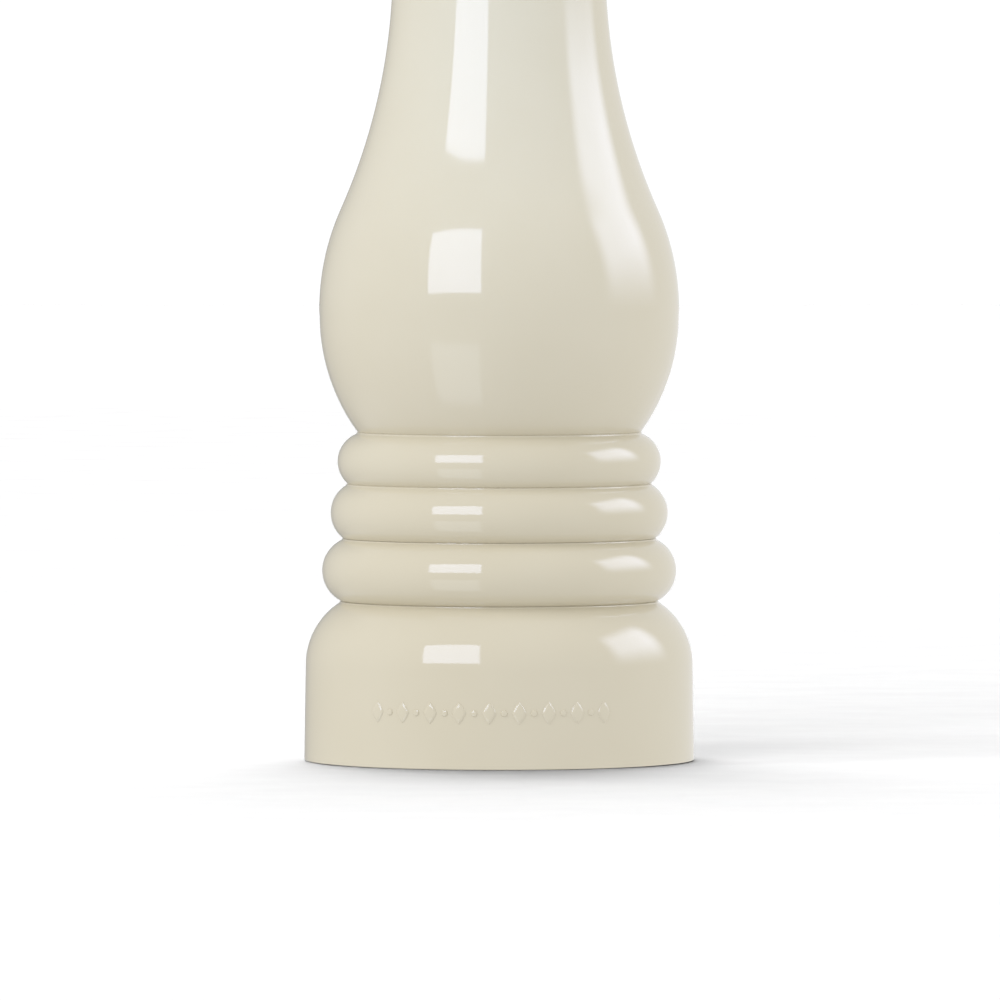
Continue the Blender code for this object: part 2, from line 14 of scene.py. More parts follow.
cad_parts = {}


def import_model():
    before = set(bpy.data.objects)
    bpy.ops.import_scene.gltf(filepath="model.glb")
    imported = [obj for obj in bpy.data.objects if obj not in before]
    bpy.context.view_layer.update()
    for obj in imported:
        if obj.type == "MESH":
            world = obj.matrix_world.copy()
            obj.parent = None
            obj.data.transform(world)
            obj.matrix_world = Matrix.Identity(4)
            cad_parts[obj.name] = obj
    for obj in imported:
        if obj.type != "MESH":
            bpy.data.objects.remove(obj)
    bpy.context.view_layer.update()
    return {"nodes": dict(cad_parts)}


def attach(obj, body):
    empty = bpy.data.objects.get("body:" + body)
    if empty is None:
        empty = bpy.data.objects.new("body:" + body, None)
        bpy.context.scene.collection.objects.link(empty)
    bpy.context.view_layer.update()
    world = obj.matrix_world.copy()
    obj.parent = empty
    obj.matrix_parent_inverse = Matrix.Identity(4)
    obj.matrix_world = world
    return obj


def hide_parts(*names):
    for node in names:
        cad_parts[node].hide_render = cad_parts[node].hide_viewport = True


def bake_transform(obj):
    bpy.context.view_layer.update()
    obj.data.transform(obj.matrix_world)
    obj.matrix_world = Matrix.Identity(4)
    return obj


MM = 0.001
GAP = 0.3
CASING_SEGMENTS = 180
PART_SEGMENTS = 96
SMALL_SEGMENTS = 48
SOFT_CORNER = math.radians(12)  # a sharper corner of an outline is rounded
SOFT_STEPS = 4

# The casing's outline, as in the CAD.
FOOT_RADIUS = 32.04
FOOT_TOP_RADIUS = 31.80
FOOT_RIM = 30.8  # the rim that the mill stands on
FOOT_LIFT = 0.12  # the gap under the edge outside the rim
FOOT_EDGE = 0.1  # that edge's chamfer
WALL = 3.0
SHOULDER = (19.67, 15.76, 12.14)  # centre radius, centre height, radius of the round
BEADS = ((23.55, 31.23, 5.556), (22.40, 40.72, 5.306), (21.70, 49.16, 4.868))
GROOVES = (25.95, 25.58, 24.92, 23.24)  # from the foot up
GROOVE_WALL = 2.55
LOWER_BELLY = (-2.93, 73.11, 32.44)
UPPER_BELLY_HEIGHT = 74.1
UPPER_BELLY_RADIUS = 29.58
UPPER_BELLY_ROUND = 40.49
BELLY_SLOPE = math.radians(24.05)
GROOVE_FOOT = 0.44  # how far out of their crossing the lower round stops
GROOVE_TOP = 0.2  # how far out of it the upper round starts
GROOVE_ROUND = 0.3  # the hollow at a groove's foot
GROOVE_BOTTOM = 0.06  # how far out of it the slot ends
NECK_ROUND = 98.84
FLARE_ROUND = 45.0
FLARE_RISE = 14.6
LIP_ROUND = 1.8
LIP_END = math.radians(82)
BORE = 13.5
SLEEVE_OUTER = 15.0
SLEEVE_TOP = 112.0
RING_SEAT = 14.7
RING_SEAT_DEPTH = 4.3

# The head's outline, as in the CAD.
SEAM = 0.6
HEAD_BEAD = (16.1, 5.9)
HEAD_BEAD_START = math.radians(-70)
HEAD_GROOVE = 18.9
WAIST = 14.8
COVE_ROUND = 7.0
COVE_END = math.radians(248)
BALL_RADIUS = 22.6
BALL_HEIGHT = 186.6
BALL_CAVITY = (185.6, 18.4)
PLUG_BORE = 11.3
CAP_RADIUS = 8.0
CAP_TOP = 210.0
PIN_RADIUS = 2.0  # the pin under the crown cap

# The mechanism, as in the CAD.
PLATE_BOTTOM = 2.0
PLATE_TOP = 4.1
PLATE_RADIUS = 28.5
PLATE_HOLE = 19.2
MECHANISM_BOTTOM = PLATE_TOP + GAP
SLEEVE_FOOT_TOP = 6.4
FLANGE_RADIUS = 21.6
FLANGE_TOP = 16.8
BARREL_RADIUS = 18.6
BARREL_TOP = 50.2
BURR_BOTTOM = 6.3
BURR_TOP = 17.9
BURR_OUTER = 15.7
BURR_TEETH = 24
SHAFT_SIDE = 6.0
SHAFT_TOP = 171.0
SQUARE_HOLE = 6.6
STUD_RADIUS = 2.0
STUD_BOTTOM = 3.3
SQUARE_BOTTOM = 9.0
KNOB_RADIUS = 8.0
KNOB_BOTTOM = 1.9
KNOB_TOP = 5.2
HUB_BOTTOM = KNOB_TOP + GAP
HUB_TOP = 18.3
WASHER_TOP = 19.3
FEEDER_BOTTOM = 28.3
SPRING_WIRE = 0.45
SPRING_COIL = 5.75
SPRING_TURNS = 4.5
CLIP_BOTTOM = 42.3
CLIP_TOP = 43.2
SPIDER_BOTTOM = 45.4
SPIDER_TOP = 49.4
SCREW_CIRCLE = 25.9
SCREW_COUNT = 3
SCREW_RADIUS = 0.95
SCREW_TOP = 10.8
CLEARANCE_HOLE = 1.4
COUNTERBORE = 2.3

# The raised pattern on the front of the foot.
PATTERN_HEIGHT = 9.2
PATTERN_SIDE = -1.65  # how far its middle is to the right, along the wall
PATTERN_PITCH = 2.46
PATTERN_COUNT = 17
PATTERN_PROUD = 0.22
PATTERN_LOZENGE = (1.35, 2.1)  # half its width, half its height
PATTERN_STUD = (0.55, 0.55)

# The camera.
CAMERA_DISTANCE = 2000.0
CAMERA_HEIGHT = 105.0
AIM_HEIGHT = 42.8
AIM_SIDE = 0.13
FRAME_WIDTH = 164.4  # what the frame spans at the mill's axis
SENSOR = 36.0

# The studio.
STUDIO_RADIUS = 5.0
FLOOR_COLOUR = (0.0512, 0.0512, 0.0512)
FLOOR_DROP = 0.05  # how far it lies below the foot
WORLD_STRENGTH = 0.85
LAMPS = (
    # name, (azimuth, elevation), energy, angle across
    ("key", (-60, 38), 0.75, 40),
    ("fill", (95, 20), 0.39, 50),
)
FLOOR_LAMPS = (
    # The low ones make the long shadow to the right.
    ("floor_top_light", (180, 81), 21.5, 16),
    ("floor_back_light", (-170, 60), 25.4, 40),
    ("floor_low_light_1", (-15, 12), 22.5, 20),
    ("floor_low_light_2", (-30, 12), 26.0, 20),
    ("floor_low_light_3", (-60, 12), 29.5, 20),
)
SOFTBOX_DISTANCE = 0.95
SOFTBOXES = (
    # name, facing, along the wall at the bottom and at the top, heights, colour, strength, softness
    (
        "front_softbox",
        -17,
        (-0.532, 0.105),
        (-0.646, 0.076),
        (0.198, 0.826),
        (0.70, 0.765, 1.0),
        7.0,
        ((0.03, 0.03), (0.03, 0.06)),
    ),
    (
        "side_softbox",
        95,
        (-0.45, 0.52),
        (-0.45, 0.52),
        (0.04, 0.95),
        (0.75, 0.80, 1.0),
        5.6,
        ((0.22, 0.3), (0.46, 0.35)),
    ),
    # The front one as a glossy table would mirror it. The floor itself is matt.
    (
        "front_softbox_in_table",
        -17,
        (-0.74, 0.06),
        (-0.532, 0.105),
        (-1.3, -0.15),
        (0.86, 0.92, 1.0),
        2.0,
        ((0.12, 0.1), (0.35, 0.06)),
    ),
)
FLAG_AZIMUTHS = (-185, -95)
FLAG_ELEVATIONS = (-30, 45)
FLAG_DISTANCE = 2.5
FLAG_STRENGTH = 0.4
FLAG_SOFT = ((0.05, 0.75), (0.2, 0.2))
NECK_LIGHT_FROM = (-8, 12)
NECK_LIGHT_DISTANCE = 1.5
NECK_LIGHT_AIM = 124.0
NECK_LIGHT_ANGLE = 4.0
NECK_LIGHT_COLOUR = (0.4, 0.6, 1.0)
NECK_LIGHT_POWER = 43.0


# Meshes


def between(ends, share):
    return ends[0] + (ends[1] - ends[0]) * share


def levels(bottom, top, count):
    return [bottom + (top - bottom) * i / (count - 1) for i in range(count)]


def arc(centre_r, centre_z, radius, start, end, count):
    """Points on a round in the outline's plane. Angles are in radians from the outward direction."""
    angles = [start + (end - start) * i / (count - 1) for i in range(count)]
    return [(centre_r + radius * math.cos(a), centre_z + radius * math.sin(a)) for a in angles]


def round_between(circle, r_start, r_end, count):
    """The outer side of a circle, from where it has one radius from the axis to where it has another."""
    centre_r, centre_z, radius = circle
    start = -math.acos((r_start - centre_r) / radius)
    end = math.acos((r_end - centre_r) / radius)
    return arc(centre_r, centre_z, radius, start, end, count)


def soften(points, reach, closed=True):
    """Rounds an outline's sharp corners, starting a reach before each."""
    count = len(points)
    made = []
    for i, (r, z) in enumerate(points):
        here = Vector((r, z))
        if not closed and i in (0, count - 1):
            made.append((r, z))
            continue
        before = Vector(points[i - 1]) - here
        after = Vector(points[(i + 1) % count]) - here
        turn = math.pi - before.angle(after)
        if turn < SOFT_CORNER:
            made.append((r, z))
            continue
        start = here + before.normalized() * min(reach, before.length * 0.45)
        end = here + after.normalized() * min(reach, after.length * 0.45)
        for k in range(SOFT_STEPS + 1):
            t = k / SOFT_STEPS
            point = start * (1 - t) ** 2 + here * 2 * t * (1 - t) + end * t**2
            made.append((point.x, point.y))
    return made


def mesh_from(name, form):
    mesh = bpy.data.meshes.new(name)
    form.to_mesh(mesh)
    form.free()
    return mesh


def mesh_through(name, rings):
    """A closed solid through rings of points, given in metres."""
    form = bmesh.new()
    made = [[form.verts.new(point) for point in ring] for ring in rings]
    for lower, upper in zip(made, made[1:]):
        for i in range(len(lower)):
            form.faces.new((lower[i - 1], lower[i], upper[i], upper[i - 1]))
    form.faces.new(list(reversed(made[0])))
    form.faces.new(made[-1])
    bmesh.ops.recalc_face_normals(form, faces=form.faces)
    return mesh_from(name, form)


def turned_mesh(name, outline, segments):
    """Turns an outline, listed down its outer side, about Z. One that starts on the axis makes a solid."""
    solid = outline[0][0] < 1e-6
    form = bmesh.new()
    rings = []
    for r, z in outline:
        if r < 1e-6:
            rings.append([form.verts.new((0.0, 0.0, z * MM))] * segments)
            continue
        angles = [math.tau * i / segments for i in range(segments)]
        rings.append([form.verts.new((r * MM * math.cos(a), r * MM * math.sin(a), z * MM)) for a in angles])
    pairs = list(zip(rings, rings[1:]))
    if not solid:
        pairs.append((rings[-1], rings[0]))
    for upper, lower in pairs:
        for i in range(segments):
            corners = [upper[i - 1], lower[i - 1], lower[i], upper[i]]
            form.faces.new(list(dict.fromkeys(corners)))
    bmesh.ops.recalc_face_normals(form, faces=form.faces)
    return mesh_from(name, form)


def ring_outline(outer, inner):
    """A closed outline from an outer and an inner side, both listed upwards."""
    return list(reversed(outer)) + inner


def washer_outline(inner_r, outer_r, bottom, top):
    return ring_outline([(outer_r, bottom), (outer_r, top)], [(inner_r, bottom), (inner_r, top)])


def rod_mesh(radius, bottom, top, x=0.0, y=0.0, segments=SMALL_SEGMENTS):
    mesh = turned_mesh("rod", [(0.0, top), (radius, top), (radius, bottom), (0.0, bottom)], segments)
    mesh.transform(Matrix.Translation((x * MM, y * MM, 0.0)))
    return mesh


def block_mesh(size, centre, turn=0.0, chamfer=0.0):
    """A box, turned about the mill's axis."""
    form = bmesh.new()
    bmesh.ops.create_cube(form, size=1.0)
    bmesh.ops.scale(form, vec=[length * MM for length in size], verts=form.verts)
    if chamfer:
        bmesh.ops.bevel(form, geom=form.edges, offset=chamfer * MM, segments=2, profile=0.5, affect="EDGES")
    bmesh.ops.translate(form, vec=[length * MM for length in centre], verts=form.verts)
    bmesh.ops.rotate(form, matrix=Matrix.Rotation(turn, 3, "Z"), verts=form.verts)
    return mesh_from("block", form)


def lofted_mesh(name, section, heights):
    """A closed solid. section(share) gives its outline's points at a share of the way up its heights."""
    rings = []
    for height in heights:
        points = section((height - heights[0]) / (heights[-1] - heights[0]))
        rings.append([(x * MM, y * MM, height * MM) for x, y in points])
    return mesh_through(name, rings)


def combined(mesh, tools, operation):
    """A mesh with others cut from it or joined to it."""
    scene = bpy.context.scene.collection
    base = bpy.data.objects.new("base", mesh)
    others = [bpy.data.objects.new("tool", tool) for tool in tools]
    for obj in [base] + others:
        scene.objects.link(obj)
    for other in others:
        step = base.modifiers.new("step", "BOOLEAN")
        step.operation = operation
        step.object = other
        step.solver = "EXACT"
    made = bpy.data.meshes.new_from_object(base.evaluated_get(bpy.context.evaluated_depsgraph_get()))
    made.name = mesh.name
    for obj in [base] + others:
        bpy.data.objects.remove(obj)
    return made


def cut(mesh, *tools):
    return combined(mesh, tools, "DIFFERENCE")


def join(mesh, *tools):
    return combined(mesh, tools, "UNION")


def finished(name, mesh, finish, replaced):
    """A smooth-shaded piece with its material, in place of the CAD nodes that it replaces."""
    obj = bpy.data.objects.new(name, mesh)
    bpy.context.scene.collection.objects.link(obj)
    mesh.materials.clear()
    mesh.materials.append(finish)
    mesh.shade_smooth()
    mesh.set_sharp_from_angle(angle=math.radians(35))
    if replaced:
        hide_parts(*replaced)
    return obj


def add_piece(name, mesh, finish, body, replaced=()):
    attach(finished(name, mesh, finish, replaced), body)


# Node materials

IVORY = (0.69, 0.64, 0.508)


class Finish:
    """A node material being built. Object coordinates are in metres, from the mill's foot."""

    def __init__(self, name, colour, roughness, metallic=0.0, ior=1.5):
        self.material = bpy.data.materials.new(name)
        self.material.use_nodes = True
        self.tree = self.material.node_tree
        self.shader = self.tree.nodes["Principled BSDF"]
        self.shader.inputs["Base Color"].default_value = (*colour, 1.0)
        self.shader.inputs["Roughness"].default_value = roughness
        self.shader.inputs["Metallic"].default_value = metallic
        self.shader.inputs["IOR"].default_value = ior
        self.colour = colour
        self.place = self.tree.nodes.new("ShaderNodeTexCoord").outputs["Object"]
        self.bump = None

    def add(self, kind, **inputs):
        """A new node. Each input takes a number, a tuple or another node's socket."""
        made = self.tree.nodes.new(kind)
        for name, value in inputs.items():
            socket = made.inputs[name.title()]
            if isinstance(value, bpy.types.NodeSocket):
                self.tree.links.new(value, socket)
            else:
                socket.default_value = value
        return made

    def stretched(self, x, y, z):
        """Object coordinates with each axis stretched, for a grain with a direction."""
        made = self.tree.nodes.new("ShaderNodeMapping")
        self.tree.links.new(self.place, made.inputs["Vector"])
        made.inputs["Scale"].default_value = (x, y, z)
        return made.outputs["Vector"]

    def noise(self, scale, detail=3.0, vector=None):
        made = self.add("ShaderNodeTexNoise", vector=vector or self.place, scale=scale, detail=detail)
        return made.outputs["Fac"]

    def rings(self, scale):
        """Noise that changes only with the distance from the axis, like the marks of turning."""
        split = self.add("ShaderNodeSeparateXYZ", vector=self.place)
        flat = self.add("ShaderNodeCombineXYZ", x=split.outputs["X"], y=split.outputs["Y"])
        length = self.tree.nodes.new("ShaderNodeVectorMath")
        length.operation = "LENGTH"
        self.tree.links.new(flat.outputs["Vector"], length.inputs[0])
        line = self.add("ShaderNodeCombineXYZ", x=length.outputs["Value"])
        return self.noise(scale, 2.0, line.outputs["Vector"])

    def spread(self, factor, low, high):
        """A factor of about 0.3 to 0.7 as a number from low to high."""
        made = self.tree.nodes.new("ShaderNodeMapRange")
        self.tree.links.new(factor, made.inputs["Value"])
        made.inputs["From Min"].default_value = 0.3
        made.inputs["From Max"].default_value = 0.7
        made.inputs["To Min"].default_value = low
        made.inputs["To Max"].default_value = high
        return made.outputs["Result"]

    def vary_colour(self, factor, darker, lighter=(1.0, 1.0, 1.0)):
        """The base colour from its darker to its lighter tint."""
        ramp = self.tree.nodes.new("ShaderNodeValToRGB")
        self.tree.links.new(factor, ramp.inputs["Fac"])
        low, high = ramp.color_ramp.elements
        low.position = 0.35
        high.position = 0.65
        low.color = (*[c * d for c, d in zip(self.colour, darker)], 1.0)
        high.color = (*[min(c * d, 1.0) for c, d in zip(self.colour, lighter)], 1.0)
        self.tree.links.new(ramp.outputs["Color"], self.shader.inputs["Base Color"])

    def vary_roughness(self, factor, low, high):
        self.tree.links.new(self.spread(factor, low, high), self.shader.inputs["Roughness"])

    def raise_by(self, factor, height_mm):
        """Adds relief of a height, on top of any relief so far."""
        made = self.tree.nodes.new("ShaderNodeBump")
        made.inputs["Strength"].default_value = 1.0
        made.inputs["Distance"].default_value = height_mm * MM
        self.tree.links.new(factor, made.inputs["Height"])
        if self.bump:
            self.tree.links.new(self.bump, made.inputs["Normal"])
        self.bump = made.outputs["Normal"]
        self.tree.links.new(self.bump, self.shader.inputs["Normal"])


def ivory_gloss():
    """Polished ivory ABS: deep gloss, a faint cloudiness and the very slight waviness of a moulded wall."""
    finish = Finish("ivory_gloss_plastic", IVORY, 0.06)
    finish.vary_colour(finish.noise(35.0), (0.985, 0.98, 0.97), (1.01, 1.01, 1.015))
    finish.vary_roughness(finish.noise(260.0), 0.045, 0.075)
    finish.raise_by(finish.noise(1.0, 2.0, finish.stretched(20.0, 20.0, 700.0)), 0.0012)
    finish.raise_by(finish.noise(90.0, 2.0), 0.01)
    return finish.material


def ivory_satin():
    """The same plastic where it is hidden, as it leaves the mould."""
    finish = Finish("ivory_satin_plastic", IVORY, 0.3)
    finish.vary_colour(finish.noise(60.0), (0.97, 0.96, 0.94))
    finish.vary_roughness(finish.noise(400.0), 0.26, 0.38)
    finish.raise_by(finish.noise(1800.0), 0.01)
    return finish.material


def grey_plastic():
    """Spark-eroded mechanism plastic, in graphite."""
    finish = Finish("graphite_plastic", (0.055, 0.055, 0.058), 0.45)
    finish.vary_colour(finish.noise(120.0), (0.85, 0.85, 0.85), (1.25, 1.25, 1.25))
    finish.vary_roughness(finish.noise(900.0), 0.38, 0.55)
    finish.raise_by(finish.noise(2600.0), 0.035)
    return finish.material


def white_plastic():
    """Slippery white acetal, slightly waxy."""
    finish = Finish("white_acetal", (0.78, 0.78, 0.75), 0.35)
    finish.vary_colour(finish.noise(80.0), (0.96, 0.96, 0.95))
    finish.vary_roughness(finish.noise(500.0), 0.3, 0.42)
    finish.raise_by(finish.noise(1400.0), 0.012)
    finish.shader.inputs["Subsurface Weight"].default_value = 0.15
    finish.shader.inputs["Subsurface Radius"].default_value = (0.002, 0.002, 0.0018)
    finish.shader.inputs["Subsurface Scale"].default_value = 1.0
    return finish.material


def ceramic():
    """Sintered ceramic: hard, off-white, faintly speckled and finely ground."""
    finish = Finish("sintered_ceramic", (0.80, 0.79, 0.74), 0.38, ior=1.7)
    finish.vary_colour(finish.noise(1500.0, 4.0), (0.9, 0.89, 0.87), (1.03, 1.03, 1.03))
    finish.vary_roughness(finish.noise(700.0), 0.3, 0.5)
    finish.raise_by(finish.noise(3500.0), 0.02)
    return finish.material


def drawn_aluminium():
    """A drawn rod, with fine lines along its length."""
    finish = Finish("drawn_aluminium", (0.78, 0.79, 0.80), 0.3, metallic=1.0)
    lines = finish.noise(1.0, 3.0, finish.stretched(2600.0, 2600.0, 18.0))
    finish.vary_colour(lines, (0.88, 0.88, 0.88))
    finish.vary_roughness(lines, 0.22, 0.4)
    finish.raise_by(lines, 0.008)
    return finish.material


def brushed_steel():
    """Stainless steel with circular brushing about the mill's axis."""
    finish = Finish("brushed_stainless", (0.66, 0.65, 0.63), 0.24, metallic=1.0)
    lines = finish.rings(5200.0)
    finish.vary_colour(lines, (0.9, 0.9, 0.9))
    finish.vary_roughness(lines, 0.18, 0.32)
    finish.raise_by(lines, 0.004)
    return finish.material


def spring_steel():
    """Wire and small pressed or headed pieces of stainless steel."""
    finish = Finish("stainless_steel", (0.60, 0.59, 0.57), 0.3, metallic=1.0)
    finish.vary_colour(finish.noise(700.0), (0.82, 0.81, 0.8))
    finish.vary_roughness(finish.noise(1200.0), 0.2, 0.42)
    finish.raise_by(finish.noise(3000.0), 0.006)
    return finish.material


def brass():
    finish = Finish("turned_brass", (0.72, 0.50, 0.20), 0.28, metallic=1.0)
    finish.vary_colour(finish.rings(4000.0), (0.85, 0.82, 0.75))
    finish.vary_roughness(finish.noise(900.0), 0.2, 0.4)
    finish.raise_by(finish.rings(6000.0), 0.006)
    return finish.material


def rubber():
    finish = Finish("black_rubber", (0.022, 0.022, 0.022), 0.65)
    finish.vary_colour(finish.noise(300.0), (0.8, 0.8, 0.8), (1.4, 1.4, 1.4))
    finish.vary_roughness(finish.noise(800.0), 0.55, 0.75)
    finish.raise_by(finish.noise(2200.0), 0.02)
    return finish.material


# The casing and the head


def belly_and_neck():
    """(end radius, end height) of the upper belly's round and of the neck's narrowest point."""
    bend_z = UPPER_BELLY_HEIGHT + UPPER_BELLY_ROUND * math.sin(BELLY_SLOPE)
    bend_r = UPPER_BELLY_RADIUS - UPPER_BELLY_ROUND * (1 - math.cos(BELLY_SLOPE))
    neck_z = bend_z + NECK_ROUND * math.sin(BELLY_SLOPE)
    neck_r = bend_r - NECK_ROUND * (1 - math.cos(BELLY_SLOPE))
    return bend_r, bend_z, neck_r, neck_z


def lip():
    """(centre radius, centre height) of the lip's round, and the flare's angle where it starts."""
    _, _, neck_r, neck_z = belly_and_neck()
    slope = math.asin(FLARE_RISE / FLARE_ROUND)
    start_r = neck_r + FLARE_ROUND * (1 - math.cos(slope))
    start_z = neck_z + FLARE_RISE
    return start_r - LIP_ROUND * math.cos(slope), start_z + LIP_ROUND * math.sin(slope), slope


def body_top():
    return lip()[1] + LIP_ROUND * math.sin(LIP_END)


def meeting(lower, upper):
    """How far from the axis two neighbouring rounds would cross."""
    lower_r, lower_z, lower_round = lower
    upper_r, upper_z, upper_round = upper
    apart = math.hypot(upper_r - lower_r, upper_z - lower_z)
    along = (apart**2 + lower_round**2 - upper_round**2) / (2 * apart)
    aside = math.sqrt(lower_round**2 - along**2)
    return lower_r + (along * (upper_r - lower_r) + aside * (upper_z - lower_z)) / apart


def with_groove(points, upper, crossing):
    """Joins two sides by a small hollow round at the groove's foot, with a shallow slot above it."""
    (before_r, before_z), (end_r, end_z) = points[-2:]
    facing = math.atan2(before_r - end_r, end_z - before_z)
    centre_r = end_r + GROOVE_ROUND * math.cos(facing)
    centre_z = end_z + GROOVE_ROUND * math.sin(facing)
    hollow = arc(centre_r, centre_z, GROOVE_ROUND, math.pi + facing, math.pi, 8)
    middle = (hollow[-1][1] + upper[0][1]) / 2
    return points + hollow[1:] + [(crossing + GROOVE_BOTTOM, middle)] + upper


def casing_outer():
    """The casing's outer side, upwards from the foot."""
    points = [(FOOT_RIM, 0.0), (FOOT_RIM + FOOT_LIFT, FOOT_LIFT)]
    points += [(FOOT_RADIUS - FOOT_EDGE, FOOT_LIFT), (FOOT_RADIUS, FOOT_LIFT + FOOT_EDGE)]
    rounds = (SHOULDER, *BEADS, LOWER_BELLY)
    crossings = [meeting(lower, upper) for lower, upper in zip(rounds, rounds[1:])]
    shoulder_end = math.acos((crossings[0] + GROOVE_FOOT - SHOULDER[0]) / SHOULDER[2])
    points += arc(*SHOULDER, 0.0, shoulder_end, 24)
    for bead, below, above in zip(BEADS, crossings, crossings[1:]):
        side = round_between(bead, below + GROOVE_TOP, above + GROOVE_FOOT, 22)
        points = with_groove(points, side, below)
    start = -math.acos((crossings[-1] + GROOVE_TOP - LOWER_BELLY[0]) / LOWER_BELLY[2])
    points = with_groove(points, arc(*LOWER_BELLY, start, 0.0, 20), crossings[-1])
    upper_r = UPPER_BELLY_RADIUS - UPPER_BELLY_ROUND
    points += arc(upper_r, UPPER_BELLY_HEIGHT, UPPER_BELLY_ROUND, 0.0, BELLY_SLOPE, 14)
    _, _, neck_r, neck_z = belly_and_neck()
    points += arc(neck_r + NECK_ROUND, neck_z, NECK_ROUND, math.pi + BELLY_SLOPE, math.pi, 22)[1:]
    lip_r, lip_z, slope = lip()
    points += arc(neck_r + FLARE_ROUND, neck_z, FLARE_ROUND, math.pi, math.pi - slope, 10)[1:]
    points += arc(lip_r, lip_z, LIP_ROUND, -slope, LIP_END, 10)[1:]
    return points


def casing_inner():
    """The casing's inner side, upwards from the foot."""
    top = body_top()
    shoulder_r, shoulder_z, shoulder_round = SHOULDER
    _, groove_1, groove_2, groove_3 = (groove - GROOVE_WALL for groove in GROOVES)
    points = [(FOOT_TOP_RADIUS - WALL + 0.2, 0.0)]
    points += arc(shoulder_r, shoulder_z, shoulder_round - WALL, 0.0, math.radians(58), 6)
    points += [(groove_1, 26.5), (groove_1, 36.5), (groove_2, 45.5)]
    points += [(groove_3, 53.0), (groove_3, 56.0)]
    points += [(25.0, 63.0), (26.5, 73.5), (25.2, 84.0), (20.0, 97.0)]
    points += [(SLEEVE_OUTER + GAP, 104.0), (SLEEVE_OUTER + GAP, SLEEVE_TOP + GAP), (BORE, SLEEVE_TOP + GAP)]
    points += [(BORE, top - RING_SEAT_DEPTH), (RING_SEAT, top - RING_SEAT_DEPTH), (RING_SEAT, top)]
    return points


def build_casing(finish):
    outline = soften(list(reversed(casing_outer())) + casing_inner(), 0.05)
    mesh = turned_mesh("casing", outline, CASING_SEGMENTS)
    add_piece("casing", mesh, finish, "mill_body", ["body_shell"])


def head_outer(bottom):
    """The head's outer side, upwards from its rim to the edge of the cap's recess."""
    bead_r, bead_round = HEAD_BEAD
    bead_z = bottom - bead_round * math.sin(HEAD_BEAD_START)
    bead_end = math.acos((HEAD_GROOVE - bead_r) / bead_round)
    points = arc(bead_r, bead_z, bead_round, HEAD_BEAD_START, bead_end, 26)
    cove_r = WAIST + COVE_ROUND
    reach = BALL_RADIUS + COVE_ROUND
    drop = math.sqrt(reach**2 - cove_r**2)
    touch = math.atan2(drop, cove_r)
    cove_z = BALL_HEIGHT - drop
    points += arc(cove_r, cove_z, COVE_ROUND, COVE_END, math.pi - touch, 18)
    rim = math.acos((CAP_RADIUS + GAP) / BALL_RADIUS)
    points += arc(0.0, BALL_HEIGHT, BALL_RADIUS, -touch, rim, 48)[1:]
    return points


def head_inner(bottom):
    """The head's inner side, upwards: two steps, the plug's bore, the ball's hollow and the cap's recess."""
    cavity_z, cavity_round = BALL_CAVITY
    points = [(16.9, bottom), (16.9, bottom + 0.9), (16.0, bottom + 0.9), (16.0, bottom + 3.4)]
    points += [(PLUG_BORE, bottom + 3.4)]
    low = -math.acos(PLUG_BORE / cavity_round)
    high = math.acos((PIN_RADIUS + GAP) / cavity_round)
    points += arc(0.0, cavity_z, cavity_round, low, high, 16)
    points += [(PIN_RADIUS + GAP, 206.2), (CAP_RADIUS + GAP, 206.2)]
    return points


def build_head(finish):
    bottom = body_top() + SEAM
    outline = soften(list(reversed(head_outer(bottom))) + head_inner(bottom), 0.22)
    mesh = turned_mesh("head", outline, CASING_SEGMENTS)
    add_piece("head", mesh, finish, "head", ["head_shell"])


def build_cap(finish):
    """The domed disc in the crown, with a softened edge."""
    rise = 2.1
    dome_round = (CAP_RADIUS**2 + rise**2) / (2 * rise)
    edge = math.acos(CAP_RADIUS / dome_round)
    dome = arc(0.0, CAP_TOP - dome_round, dome_round, math.pi / 2, edge, 16)
    pin = [(CAP_RADIUS, 206.5), (PIN_RADIUS, 206.5), (PIN_RADIUS, 200.5), (0.0, 200.5)]
    outline = soften([(0.0, CAP_TOP)] + dome[1:] + pin, 0.25, closed=False)
    mesh = turned_mesh("crown_cap", outline, PART_SEGMENTS)
    add_piece("crown_cap", mesh, finish, "head", ["head_cap"])


# The pieces in the foot, the mouth and the head


def screw_places():
    """(x, y) of each base screw."""
    angles = [math.radians(90) + math.tau * i / SCREW_COUNT for i in range(SCREW_COUNT)]
    return [(SCREW_CIRCLE * math.cos(a), SCREW_CIRCLE * math.sin(a)) for a in angles]


def build_plate(finish):
    """The base plate, with a counterbored hole for each screw."""
    outline = soften(washer_outline(PLATE_HOLE, PLATE_RADIUS, PLATE_BOTTOM, PLATE_TOP), 0.3)
    holes = [rod_mesh(CLEARANCE_HOLE, 1.0, 5.0, x, y) for x, y in screw_places()]
    bores = [rod_mesh(COUNTERBORE, 1.0, 3.2, x, y) for x, y in screw_places()]
    mesh = cut(turned_mesh("plate", outline, CASING_SEGMENTS), *holes, *bores)
    add_piece("plate", mesh, finish, "mill_body", ["base_plate"])


